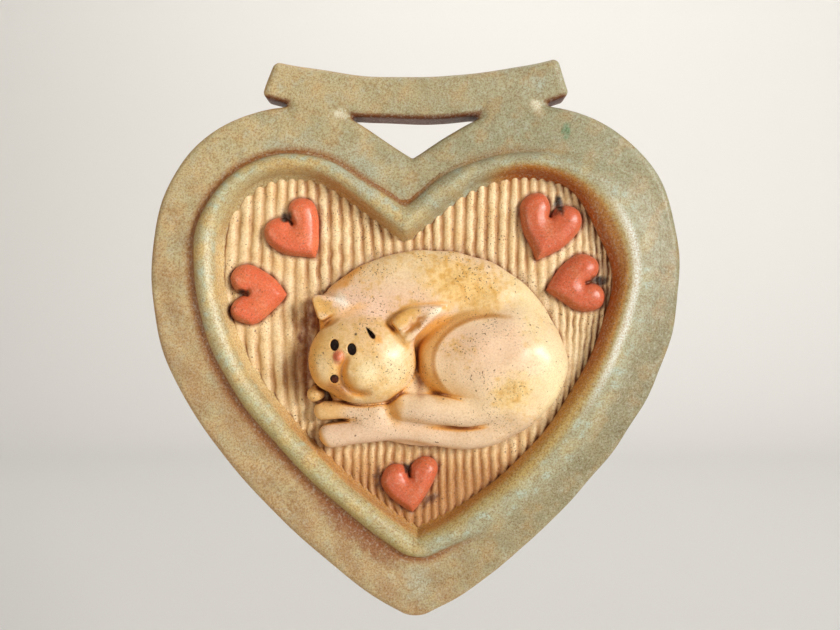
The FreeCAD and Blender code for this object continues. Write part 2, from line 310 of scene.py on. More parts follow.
def slab_field(x, z, h):
    """The rim: the heart slab with its window cut out."""
    flat = outer(x, z) + 0.16 * edge_wobble(x, z)
    front = RIM_THICK + 0.16 * face_wobble(x, z)
    return np.maximum(thick(flat, h, 0.0, front, FRONT_ROUND, BACK_ROUND), -window(x, z))


def rightward(x, z):
    """How far round to the right a place is, starting later at the top of the lobe."""
    point = 8.0 * ease(z, -75.0, -92.0)
    lobe = 34.0 * ease(z, -30.0, -10.0)
    return x + 0.25 * (z + 60.0) + point - lobe


def spread_side(x, z):
    """Where the coil was pressed out wide: down the right side."""
    return ease(rightward(x, z), 2.0, 34.0)


def grooved_side(x, z):
    """Where the coil's outer foot still shows as a groove: the rest of the way round."""
    return 1.0 - ease(rightward(x, z), -2.0, 22.0)


def faint_groove(x, z):
    """Where that groove holds little brown glaze and painted shadow: over the right lobe."""
    return ease(x, -2.0, 8.0) * ease(z, -45.0, -30.0)


def bead_across(x, z):
    """Place across the coil, -1 at its inner foot, 0 on its crest and 1 at its outer foot."""
    spread = spread_side(x, z)
    thin = 0.7 * ease(z, -30.0, -14.0) * ease(np.abs(x), 4.0, 16.0)
    wide = BEAD_HALF_WIDTH - thin + 0.12 * bead_wobble(x, z)
    gap = window(x, z) - 0.9 * spread
    swell = 2.2 * np.exp(-((x - 43.0) ** 2 + (z + 25.0) ** 2) / 9.0**2)
    half = np.where(gap < 0.0, wide + 0.9 * spread + swell, wide + 4.4 * spread)
    return gap / half, half


def bead_field(x, z, h):
    """The coil, with its foot run down on to the panel."""
    spread = spread_side(x, z)
    across, half = bead_across(x, z)
    rise = BEAD_RISE - 0.3 - 0.5 * spread + 0.12 * bead_wobble(z, x)
    up = (h - BEAD_MIDDLE) / rise
    size = np.sqrt(across**2 + up**2)
    coil = size * (size - 1.0) / np.maximum(np.sqrt((across / half) ** 2 + (up / rise) ** 2), 0.01)
    inward = -window(x, z)
    foot = h - 5.2 + 0.7 * np.maximum(inward - 3.0, 0.0) + 2.5 * spread
    foot = np.maximum(foot, np.maximum(-0.8 - inward, 1.2 - h))
    return np.maximum(blend_min(coil, foot, 1.8), 0.8 - h)


bar_top_centre, bar_top_radius = circle_through(*BAR_TOP)
bar_under_centre, bar_under_radius = circle_through(*BAR_UNDER)


def bar_field(x, z, h):
    """The hanger bar: two sagging arcs between cut ends."""
    above = bar_top_radius - np.hypot(x - bar_top_centre[0], z - bar_top_centre[1])
    below = np.hypot(x - bar_under_centre[0], z - bar_under_centre[1]) - bar_under_radius
    ends = []
    for begin, finish in ((BAR_UNDER[0], BAR_TOP[0]), (BAR_TOP[2], BAR_UNDER[2])):
        dx, dz = finish[0] - begin[0], finish[1] - begin[1]
        length = math.hypot(dx, dz)
        ends.append(-((x - begin[0]) * dz - (z - begin[1]) * dx) / length)
    flat = rounded_and(np.maximum(above, below), np.maximum(*ends), 1.5)
    flat = flat + 0.14 * edge_wobble(x, z)
    return thick(flat, h, 0.0, RIM_THICK + 0.12 * face_wobble(x, z), FRONT_ROUND, BACK_ROUND)


def neck_field(node):
    """A pad between the bar and a lobe, as big as its CAD node."""
    low, high = node_box(node)
    middle = (low + high) / 2.0
    half = (high - low) / 2.0

    def field(x, z, h):
        across, up = np.abs(x - middle[0]) - half[0], np.abs(z - middle[1]) - half[1]
        flat = rounded_and(across, up + 0.5, 0.8)
        return thick(flat, h, 0.3, RIM_THICK - 0.3, 1.4, 0.8)

    return field


neck_left_field = neck_field("hanger_neck_left")
neck_right_field = neck_field("hanger_neck_right")


def mitre(x, z):
    """Signed distance to the line from the window's notch to its point."""
    dx, dz = WINDOW_NOTCH[0] - WINDOW_POINT[0], WINDOW_NOTCH[1] - WINDOW_POINT[1]
    length = math.hypot(dx, dz)
    return ((x - WINDOW_POINT[0]) * dz - (z - WINDOW_POINT[1]) * dx) / length


def rim_parts(x, z, h):
    """Fields of the slab, the bar, its necks and the two coils, by node."""
    bead = bead_field(x, z, h)
    half = mitre(x, z)
    return {
        "rim_frame": slab_field(x, z, h),
        "hanger_bar": bar_field(x, z, h),
        "hanger_neck_left": neck_left_field(x, z, h),
        "hanger_neck_right": neck_right_field(x, z, h),
        "bead_coil_left": np.maximum(bead, half),
        "bead_coil_right": np.maximum(bead, -half),
    }


def rim_joined(parts, x, z, h):
    """Those pieces smoothed together; the coil melts in where it spreads."""
    coils = np.minimum(parts["bead_coil_left"], parts["bead_coil_right"])
    bar = blend_min(parts["hanger_bar"], parts["hanger_neck_left"], 1.6)
    bar = blend_min(bar, parts["hanger_neck_right"], 1.6)
    slab = blend_min(parts["rim_frame"], bar, 1.8)
    return blend_min(slab, coils, 0.4 + 2.6 * spread_side(x, z))


# ---- Mesh of a field
CORNERS = np.array([(i, j, k) for i in (0, 1) for j in (0, 1) for k in (0, 1)])
EDGES = [
    (a, b) for a in range(8) for b in range(a + 1, 8) if np.abs(CORNERS[a] - CORNERS[b]).sum() == 1
]


def slope(field, points, reach=0.02):
    """Gradient of a field at points."""
    columns = []
    for axis in range(3):
        ahead, behind = points.copy(), points.copy()
        ahead[:, axis] += reach
        behind[:, axis] -= reach
        columns.append((field(*ahead.T) - field(*behind.T)) / (2.0 * reach))
    return np.stack(columns, 1)


def field_mesh(field, low, high, step):
    """Points and quads where a field is zero, with one point per crossed cell."""
    axes = [np.arange(low[i] - 1.6 * step, high[i] + 1.6 * step, step) for i in range(3)]
    grid = field(axes[0][:, None, None], axes[1][None, :, None], axes[2][None, None, :])
    # Clay that runs past the grid is closed off at its ends
    for axis in range(3):
        for end in (0, -1):
            face = np.take(grid, [end], axis)
            layer = np.full_like(face, end % grid.shape[axis], int)
            np.put_along_axis(grid, layer, np.abs(face) + 0.01, axis)

    # Each crossed cell has one point, the mean of the crossings on its edges
    inside = grid < 0.0
    shape = np.array(grid.shape) - 1
    filled = np.zeros(shape, np.int8)
    for i, j, k in CORNERS:
        filled += inside[i : i + shape[0], j : j + shape[1], k : k + shape[2]]
    cells = np.argwhere((filled > 0) & (filled < 8))
    number = np.full(shape, -1)
    number[tuple(cells.T)] = np.arange(len(cells))
    values = np.stack([grid[tuple((cells + corner).T)] for corner in CORNERS], 1)
    total = np.zeros((len(cells), 3))
    count = np.zeros((len(cells), 1))
    for a, b in EDGES:
        crossed = (values[:, a] < 0.0) != (values[:, b] < 0.0)
        drop = np.where(crossed, values[:, a] - values[:, b], 1.0)
        share = np.where(crossed, values[:, a], 0.0) / drop
        spot = CORNERS[a] + share[:, None] * (CORNERS[b] - CORNERS[a])
        total += spot * crossed[:, None]
        count += crossed[:, None]
    origin = np.array([axis[0] for axis in axes])
    points = origin + (cells + total / count) * step

    # Each crossed grid edge has a quad, through the cells round it
    quads = []
    for axis in range(3):
        b, c = (axis + 1) % 3, (axis + 2) % 3
        ahead = np.take(inside, range(1, inside.shape[axis]), axis)
        here = np.take(inside, range(inside.shape[axis] - 1), axis)
        spots = np.argwhere(here != ahead)
        outward = here[tuple(spots.T)]
        ring = []
        for shift_b, shift_c in ((1, 1), (0, 1), (0, 0), (1, 0)):
            cell = spots.copy()
            cell[:, b] -= shift_b
            cell[:, c] -= shift_c
            ring.append(number[tuple(cell.T)])
        ring = np.stack(ring, 1)
        quads.append(np.where(outward[:, None], ring, ring[:, ::-1]))

    # The points slide along the gradient on to the surface
    value = field(*points.T)
    for share in (1.0, 0.7, 0.4):
        gradient = slope(field, points)
        size = np.maximum((gradient**2).sum(1), 0.25)
        move = gradient * (share * value / size)[:, None]
        moved = points - np.clip(move, -0.5 * step, 0.5 * step)
        moved_value = field(*moved.T)
        better = np.abs(moved_value) < np.abs(value)
        points = np.where(better[:, None], moved, points)
        value = np.where(better, moved_value, value)
    return points, np.concatenate(quads)


def add_object(name, points, quads, material, marks):
    """A shaded Blender mesh from points in (x, z, h) millimetres."""
    mesh = bpy.data.meshes.new(name)
    spots = np.stack((points[:, 0], -points[:, 2], points[:, 1]), 1) * MM
    mesh.vertices.add(len(spots))
    mesh.vertices.foreach_set("co", spots.astype(np.float32).ravel())
    mesh.loops.add(quads.size)
    mesh.loops.foreach_set("vertex_index", quads.astype(np.int32).ravel())
    mesh.polygons.add(len(quads))
    mesh.polygons.foreach_set("loop_start", np.arange(0, quads.size, 4, dtype=np.int32))
    mesh.polygons.foreach_set("use_smooth", np.ones(len(quads), bool))
    mesh.update(calc_edges=True)
    mesh.validate()
    layer = mesh.color_attributes.new("glaze", "FLOAT_COLOR", "POINT")
    layer.data.foreach_set("color", marks.astype(np.float32).ravel())
    mesh.materials.append(material)
    piece = bpy.data.objects.new(name, mesh)
    bpy.context.scene.collection.objects.link(piece)
    return piece


# ---- Cat
CAT_LOW = 3.8
cat_wobble = waves(6, 9.0)


def lump_field(middle, half, turn):
    """A dome with oval outline and upright walls below its middle."""

    def field(x, z, h):
        u, v = turned(x, z, middle, turn)
        w = np.maximum(h - middle[2], 0.0)
        size = np.sqrt((u / half[0]) ** 2 + (v / half[1]) ** 2 + (w / half[2]) ** 2)
        steep = np.sqrt((u / half[0] ** 2) ** 2 + (v / half[1] ** 2) ** 2 + (w / half[2] ** 2) ** 2)
        return size * (size - 1.0) / np.maximum(steep, 0.01)

    return field


def eased_row(balls, parts):
    """The same row of balls with smooth in-between ones."""
    row = np.array(balls)
    padded = np.vstack((2.0 * row[0] - row[1], row, 2.0 * row[-1] - row[-2]))
    eased = []
    for i in range(1, len(row)):
        a, b, c, d = padded[i - 1 : i + 3]
        for t in np.arange(parts) / parts:
            eased.append(
                0.5 * (2.0 * b + (c - a) * t + (2.0 * a - 5.0 * b + 4.0 * c - d) * t**2
                       + (3.0 * b - a - 3.0 * c + d) * t**3)
            )
    return eased + [row[-1]]


def roll_field(balls):
    """A tapering roll through a row of balls."""
    row = eased_row(balls, 4)

    def stretch(x, z, h, start, end):
        step = end[:3] - start[:3]
        dx, dz, dh = x - start[0], z - start[1], h - start[2]
        along = np.clip((dx * step[0] + dz * step[1] + dh * step[2]) / step.dot(step), 0.0, 1.0)
        across, up, out = dx - along * step[0], dz - along * step[1], dh - along * step[2]
        return np.sqrt(across**2 + up**2 + out**2) - (start[3] + along * (end[3] - start[3]))

    def field(x, z, h):
        return least(stretch(x, z, h, *ends) for ends in zip(row, row[1:]))

    return field


def ear_field(corners, low, high, hollow):
    """A rounded triangle of clay with a hollow pressed into it."""
    scoop = lump_field(*hollow)

    def field(x, z, h):
        flat = None
        for begin, finish in zip(corners, corners[1:] + corners[:1]):
            dx, dz = finish[0] - begin[0], finish[1] - begin[1]
            side = -((x - begin[0]) * dz - (z - begin[1]) * dx) / math.hypot(dx, dz)
            flat = side if flat is None else blend_max(flat, side, 1.7)
        shape = thick(flat, h, low - 3.0, high - 0.5 + 0.15 * np.clip(flat, -3.0, 0.0), 1.1, 0.5)
        bowl = scoop(x, z, 2.0 * hollow[0][2] - h)
        return blend_max(shape, -bowl, 0.7)

    return field


def slit_flat(x, z):
    """Outline of the short cut in the brow: a drop with its sharp end up and left."""
    sharp_end, turn, length, half_width = (-11.0, -47.6), -52.0, 3.1, 0.72
    u, v = turned(x, z, sharp_end, turn)
    along = np.clip(u / length, 0.0, 1.0)
    half = half_width * along**0.8 * np.sqrt(1.0 - along**4)
    return np.hypot(u - along * length, v) - half


def pit_flat(x, z, middle, half, turn):
    """Outline of an oval hole."""
    u, v = turned(x, z, middle, turn)
    return (np.hypot(u / half[0], v / half[1]) - 1.0) * min(half)


cheek_right_flat = lump_field(*CAT_LUMPS["cat_cheek_right"])
haunch_flat = lump_field(*CAT_LUMPS["cat_haunch"])
thigh_field = lump_field(*THIGH)
flank_field = lump_field(*FLANK)
head_flat = lump_field(*CAT_LUMPS["cat_head"])
plain_body_field = lump_field(*CAT_LUMPS["cat_body"])


def below_cheek(x, z):
    """1 to the left of the right cheek and under it, 0 on its other sides."""
    middle = CAT_LUMPS["cat_cheek_right"][0]
    return ease(0.85 * (middle[0] - x) + 0.5 * (middle[1] - z), -0.5, 3.0)


def cat_body_field(x, z, h):
    """The curled body: a hollow runs round the haunch, and the head lies in another."""
    body = plain_body_field(x, z, h)
    body = body + 2.8 * np.exp(-((haunch_flat(x, z, 0.0) / 4.0) ** 2)) * ease(x, 20.0, 8.0)
    body = body + 2.2 * np.exp(-((head_flat(x, z, 0.0) / 3.2) ** 2)) * ease(z, -43.0, -50.0)
    return blend_max(body, -21.5 - x, 2.0)


def haunch_field(x, z, h):
    """A dome, with a fold of the flank showing to its left and above it."""
    thigh = thigh_field(x, z, h)
    return blend_min(flank_field(x, z, h), thigh, 0.5 + 4.0 * ease(x, 16.0, 24.0))


CAT_FIELDS = {name: lump_field(*shape) for name, shape in CAT_LUMPS.items()}
CAT_FIELDS.update({name: roll_field(balls) for name, balls in CAT_ROLLS.items()})
CAT_FIELDS.update({name: ear_field(*shape) for name, shape in CAT_EARS.items()})
CAT_FIELDS["cat_body"] = cat_body_field
CAT_FIELDS["cat_haunch"] = haunch_field


def cat_joined(parts, x, z, h):
    """The cat's pieces smoothed together where the clay was worked over."""
    round_cheek = np.exp(-(((cheek_right_flat(x, z, 0.0) - 0.3) / 1.1) ** 2))
    head = parts["cat_head"] + 1.5 * round_cheek * below_cheek(x, z)
    for name, blend in (("cat_cheek_right", 0.8), ("cat_cheek_left", 2.0), ("cat_nose", 0.6)):
        head = blend_min(head, parts[name], blend)
    right = ease(x, 14.0, 25.0)
    brow = ease(z, -50.0, -46.0) * ease(x, 0.0, -6.0)
    cat = parts["cat_body"]
    for added, blend in (
        (parts["cat_haunch"], 1.2 + 3.1 * right),
        (parts["cat_hind_foot"], 0.5 + 2.6 * ease(x, 8.0, 18.0)),
        (parts["cat_tail"], 0.4 + 3.4 * right),
        (parts["cat_forepaw_front"], 0.5 + 2.6 * ease(x, -16.0, -11.0)),
        (parts["cat_forepaw_rear"], 0.4),
        (head, 0.4 + 3.2 * brow),
        (parts["cat_ear_left"], 1.2 + 2.4 * ease(x, -20.0, -16.0)),
        (parts["cat_ear_right"], 0.9 + 2.0 * ease(z - 0.5 * x, -45.0, -48.0)),
    ):
        cat = blend_min(cat, added, blend)
    return np.maximum(cat + 0.13 * cat_wobble(x, z), CAT_LOW - h)


def cat_pierced(parts, x, z, h):
    """The joined cat with the eyes, the mouth and the cut in the brow pressed in."""
    cat = cat_joined(parts, x, z, h)
    holes = slit_flat(x, z)
    for shape in CAT_PITS.values():
        holes = np.minimum(holes, pit_flat(x, z, *shape))
    return blend_max(cat, -np.maximum(holes, -cat - PIT_DEPTH), 0.25)


# ---- Small hearts
HEART_LOW = 4.0
heart_wobble = waves(7, 8.0)


def heart_flat(x, z, middle, turn, width, stretch, skew):
    """Outline of a small heart: two lobe circles running into two wide side circles."""
    uneven_x, uneven_z = x + 0.2 * heart_wobble(x, z), z + 0.2 * heart_wobble(z, x)
    across, along = turned(uneven_x, uneven_z, middle, turn)
    across = across / width
    u = np.abs(across)
    v = along / (width * stretch) - skew * across
    lobe_x, lobe_radius, notch_z = 0.252, 0.248, -0.02
    meet = math.radians(-25.0)
    gap = 1.057
    lobe = np.hypot(u - lobe_x, v) - lobe_radius
    side_x, side_z = lobe_x - gap * math.cos(meet), -gap * math.sin(meet)
    side = np.hypot(u - side_x, v - side_z) - lobe_radius - gap
    side = np.maximum(side, -np.hypot(u, v - notch_z))
    above = math.cos(meet) * v - math.sin(meet) * (u - lobe_x)
    in_lobe = np.where(u < lobe_x, v > notch_z, above >= 0.0)
    return np.where(in_lobe, lobe, side) * width


def small_heart_field(*shape):
    """A small heart, crowned towards its middle."""

    def field(x, z, h):
        flat = heart_flat(x, z, *shape)
        high = 6.7 + 1.9 * (1.0 - np.exp(np.minimum(flat, 0.0) / 2.0))
        return thick(flat, h, HEART_LOW, high, 1.7, 0.3)

    return field


HEART_FIELDS = {name: small_heart_field(*shape) for name, shape in HEARTS.items()}


# ---- Combed panel
# Places across the panel, and how many ridges lie between each and x = -18.3
COMB_PLACES = (-48.0, -30.0, -18.3, -3.0, 4.7, 20.4, 32.0, 48.0)
COMB_COUNTS = (-10.6, -4.4, 0.0, 6.6, 10.0, 16.0, 21.0, 31.0)
COMB_LOW_PITCH = 2.05
lean_wobble = waves(8, 45.0)
pitch_wobble = waves(9, 14.0)
depth_wobble = waves(10, 10.0)
scrape_wobble = waves(12, 3.5)


def near_cat(x, z):
    """Distance outward from the cat's outline at the panel."""
    level = 6.0
    pieces = ("cat_body", "cat_haunch", "cat_tail", "cat_head", "cat_ear_left", "cat_forepaw_front")
    return least(CAT_FIELDS[name](x, z, level) for name in pieces)


def near_hearts(x, z):
    """Distance outward from the nearest small heart."""
    return least(heart_flat(x, z, *shape) for shape in HEARTS.values())


def smeared(x, z):
    """How far the comb marks are rubbed away: beside the cat and round the hearts."""
    beside = ease(near_cat(x, z) + 0.5 * scrape_wobble(x, z), 4.6, 0.4)
    beside = beside * (0.25 + 0.75 * ease(x, 12.0, 26.0) * ease(z, -32.0, -38.0))
    round_hearts = 0.5 * ease(near_hearts(x, z), 1.6, 0.3)
    return np.maximum(beside, round_hearts)


def comb(x, z):
    """Height of the comb marks, 0 in a groove and 1 on a ridge."""
    across = x + 0.5 * lean_wobble(x, z) + 0.3 * pitch_wobble(x, 0.3 * z)
    across = across + 0.1 * scrape_wobble(x, z)
    upper = np.interp(across, COMB_PLACES, COMB_COUNTS)
    lower = (across + 16.0) / COMB_LOW_PITCH
    share = ease(z + 0.1 * x, -67.0, -73.0)
    ridges = (1.0 - share) * np.cos(2.0 * math.pi * upper) + share * np.cos(2.0 * math.pi * lower)
    return 0.5 + 0.5 * ridges


def panel_top(x, z):
    """Front of the combed sheet, with clay smeared up where the marks are rubbed."""
    ridge = comb(x, z) * (0.85 + 0.15 * depth_wobble(x, z))
    rubbed = smeared(x, z)
    top = PANEL_THICK - 0.5 + 0.8 * np.sqrt(ridge + 0.02) * (1.0 - 0.85 * rubbed) + 0.45 * rubbed
    return top + 0.08 * scrape_wobble(x, z) * (0.4 + rubbed)


def window_edge(columns, inner_z, outer_z, spread):
    """Height up each column where the window outline, spread wider, is met."""
    inside = np.full(len(columns), inner_z)
    outside = np.full(len(columns), outer_z)
    for _ in range(30):
        middle = (inside + outside) / 2.0
        within = window(columns, middle) < spread
        inside = np.where(within, middle, inside)
        outside = np.where(within, outside, middle)
    return inside


def panel_mesh():
    """The combed sheet: front and back grids joined round the edge."""
    low, high = node_box("combed_panel")
    tuck, inside_z, above_z, below_z = 0.9, -42.0, 0.0, -102.0
    columns = np.linspace(low[0] - 0.5, high[0] + 0.5, 380)
    rows = np.linspace(0.0, 1.0, 105)
    upper = window_edge(columns, inside_z, above_z, tuck)
    lower = window_edge(columns, inside_z, below_z, tuck)
    x = np.repeat(columns[:, None], len(rows), 1)
    z = lower[:, None] + (upper - lower)[:, None] * rows
    front = np.stack((x, z, panel_top(x, z)), 2).reshape(-1, 3)
    back = np.stack((x, z, 0.25 + 0.06 * scrape_wobble(x, z)), 2).reshape(-1, 3)
    number = np.arange(x.size).reshape(x.shape)
    quads = np.stack((number[:-1, :-1], number[1:, :-1], number[1:, 1:], number[:-1, 1:]), 2)
    quads = quads.reshape(-1, 4)
    edge = np.concatenate((number[:, 0], number[-1, 1:], number[-2::-1, -1], number[0, -2:0:-1]))
    after = np.roll(edge, -1)
    walls = np.stack((edge, edge + x.size, after + x.size, after), 1)
    return np.concatenate((front, back)), np.concatenate((quads, quads[:, ::-1] + x.size, walls))


# ---- Whole plaque
def cat_parts(x, z, h):
    """Fields of the cat's pieces, by node."""
    return {name: field(x, z, h) for name, field in CAT_FIELDS.items()}


def all_clay(x, z, h):
    """Everything at once, for finding crevices."""
    rim = rim_joined(rim_parts(x, z, h), x, z, h)
    cat = cat_pierced(cat_parts(x, z, h), x, z, h)
    panel = np.maximum(h - panel_top(x, z), window(x, z) - 0.5)
    return least((rim, cat, panel, *(field(x, z, h) for field in HEART_FIELDS.values())))


# A skin goes on past its seam for this many mesh steps, then sinks at this slope
SEAM_LAP = 2.2
SEAM_SLOPE = 2.0
SEAM_STEP = 0.005


def piece_of(name, parts_of, joined, order, step):
    """One piece's field: the joined surface where it is the nearest piece, sinking past the seam.

    Later pieces lie a hair prouder, so one of two lapped skins always covers the other.
    """

    def field(x, z, h):
        parts = parts_of(x, z, h)
        others = least(value for other, value in parts.items() if other != name)
        beyond = np.maximum(parts[name] - others - SEAM_LAP * step, 0.0)
        return joined(parts, x, z, h) + SEAM_SLOPE * beyond - SEAM_STEP * order

    return field


# ---- Glaze colours, as display colours from 0 to 1
TAN = (0.80, 0.735, 0.56)
SAGE = (0.70, 0.69, 0.55)
GREY_SAGE = (0.57, 0.56, 0.43)
GREY_BLUE = (0.72, 0.77, 0.72)
SEA_GREEN = (0.70, 0.78, 0.74)
STRAW = (0.84, 0.70, 0.42)
PAINTED_HIGHLIGHT = (0.91, 0.90, 0.81)
CREAM = (0.97, 0.92, 0.76)
OCHRE = (0.88, 0.69, 0.38)
HONEY = (0.88, 0.60, 0.23)
CORAL = (0.91, 0.45, 0.30)
BARE_CLAY = (0.72, 0.61, 0.48)
OLD_BROWN = (0.62, 0.48, 0.32)
RED_BROWN = (0.50, 0.25, 0.11)
DEEP_BROWN = (0.42, 0.22, 0.09)
DARK_BROWN = (0.36, 0.19, 0.09)
DEEP_RED = (0.42, 0.19, 0.09)
BLACK_BROWN = (0.07, 0.04, 0.04)

mottle = waves(21, 7.0, 14)
small_mottle = waves(22, 2.6, 14)
large_mottle = waves(23, 24.0)
grain_mottle = waves(26, 1.1, 16)
ragged_x = waves(24, 2.2, 12)
ragged_z = waves(25, 2.2, 12)


def glazed(base, layers):
    """A base colour, with layers of glaze laid over it in turn: each a colour and an amount."""
    colour = np.array(base)
    for layer, amount in layers:
        colour = colour + (np.array(layer) - colour) * np.clip(amount, 0.0, 1.0)[:, None]
    return colour


def patch(x, z, middle, half, turn=0.0, soft=0.4, ragged=0.4):
    """A soft-edged oval patch, 1 in its middle and 0 outside."""
    u, v = turned(x + ragged * ragged_x(x, z), z + ragged * ragged_z(x, z), middle, turn)
    return ease(np.hypot(u / half[0], v / half[1]), 1.0 + soft, 1.0 - soft)


def patches(x, z, rows):
    """Layers from rows of colour, amount and a patch's own values."""
    return [(colour, amount * patch(x, z, *shape)) for colour, amount, *shape in rows]


def groove_glaze_and_shadow(x, z):
    """How much brown glaze and painted shadow the groove outside the coil holds."""
    return 1.0 - 0.6 * faint_groove(x, z)


# Blue-grey and green glaze patches, and two painted highlights on the fillets beside the necks
RIM_PATCHES = (
    (GREY_BLUE, 0.55, (-27.0, -7.0), (8.0, 2.4), -10.0, 0.8, 0.8),
    (GREY_BLUE, 0.55, (-12.0, -10.5), (6.0, 1.8), -40.0, 0.8, 0.8),
    (GREY_BLUE, 0.55, (27.5, 8.0), (2.6, 1.6), 15.0, 0.8, 0.8),
    (GREY_BLUE, 0.55, (0.5, -106.0), (2.4, 3.4), 0.0, 0.8, 0.8),
    ((0.36, 0.55, 0.40), 0.7, (34.3, -2.8), (0.7, 1.7), 0.0, 0.4, 0.3),
    (PAINTED_HIGHLIGHT, 0.8, (-17.4, 0.9), (1.2, 1.0), -40.0, 0.6, 0.2),
    (PAINTED_HIGHLIGHT, 0.8, (27.2, 3.0), (1.2, 1.0), -40.0, 0.6, 0.2),
)
# Brown glaze and painted shadow outside the coil's foot, low on the left near the point
LOW_GROOVE_GLAZE_AND_SHADOW = ((0.50, 0.26, 0.12), 0.6, (-14.0, -94.0), (11.0, 2.2), -41.0, 0.7, 0.6)


def rim_paint(x, z, h, normal, crevice):
    """Tan on the left turning to grey sage on the right, brown on the walls and in the groove, with
    painted shade on the left edges, under the bar and in the crevices, painted shadow beside the coil
    and two painted highlights.
    """
    right = ease(x + 0.3 * z, -45.0, 35.0)
    low_left = ease(-x - 0.8 * z, 45.0, 105.0)
    low_right = ease(x - z, 85.0, 125.0)
    warm = ease(mottle(z, -x) + 0.5 * small_mottle(z, x), -0.1, 1.4)
    cool = ease(small_mottle(x, z) + mottle(-x, z), 0.7, 2.0)
    on_bar = (1.0 - 0.6 * right) * ease(z, 0.0, 5.0)
    edge = ease(normal[:, 2], 0.93, 0.5)
    wall = ease(normal[:, 2], 0.4, 0.1)
    under = ease(-normal[:, 1], 0.35, 0.9) * ease(z, -6.0, -1.0)
    grooved = grooved_side(x, z)
    beside_bead = window(x, z)
    line = ease(beside_bead, 4.2 + 1.6 * low_left, 2.8) * ease(beside_bead, 1.5, 2.4)
    line = line * grooved * groove_glaze_and_shadow(x, z)
    return glazed(np.tile(TAN, (len(x), 1)), (
        (SAGE, 0.25 + 0.25 * right + 0.3 * mottle(x, z)),
        (GREY_SAGE, 0.75 * right + 0.15 * mottle(z, x)),
        ((0.52, 0.50, 0.40), 0.25 * low_right),
        ((0.64, 0.65, 0.54), 0.6 * right * ease(z, -25.0, -8.0)),
        ((0.52, 0.50, 0.37), 0.4 * right * ease(z, -18.0, -35.0)),
        ((0.82, 0.75, 0.58), 0.4 * on_bar),
        ((0.80, 0.62, 0.40), 0.25 * warm),
        ((0.70, 0.73, 0.68), 0.32 * cool),
        ((0.68, 0.53, 0.36), 0.5 * low_left * (0.8 + 0.4 * mottle(z, x))),
        *patches(x, z, RIM_PATCHES),
        # Painted shade: ochre on the rounded edges over the left side
        ((0.82, 0.64, 0.38), 0.5 * edge * (1.0 - right)),
        (OLD_BROWN, 0.5 * wall),
        # Brown glaze and painted shade on the underside of the bar
        ((0.42, 0.20, 0.08), 0.9 * under),
        # Brown glaze in the groove outside the coil, with painted shadow of the coil, most on the lower
        # left
        ((0.58, 0.35, 0.16), line * (0.6 + 0.4 * low_left)),
        ((0.50, 0.29, 0.13), 0.5 * line * low_left),
        *patches(x, z, (LOW_GROOVE_GLAZE_AND_SHADOW,)),
        # Brown glaze pooled in the crevices, and painted shade there
        (DEEP_BROWN, 0.8 * ease(crevice, 0.35, 0.9) * (0.35 + 0.65 * grooved)),
    ))


BEAD_PATCHES = (
    (STRAW, 0.6, (-28.0, -10.9), (8.5, 1.2), 2.0, 0.7, 0.5),
    (SEA_GREEN, 0.6, (-18.3, -10.4), (6.0, 1.4), -25.0, 0.7, 0.5),
    (GREY_BLUE, 0.6, (-10.4, -17.2), (8.0, 1.2), -38.0, 0.7, 0.5),
    (STRAW, 0.6, (-5.5, -21.5), (3.5, 1.0), -35.0, 0.7, 0.5),
)


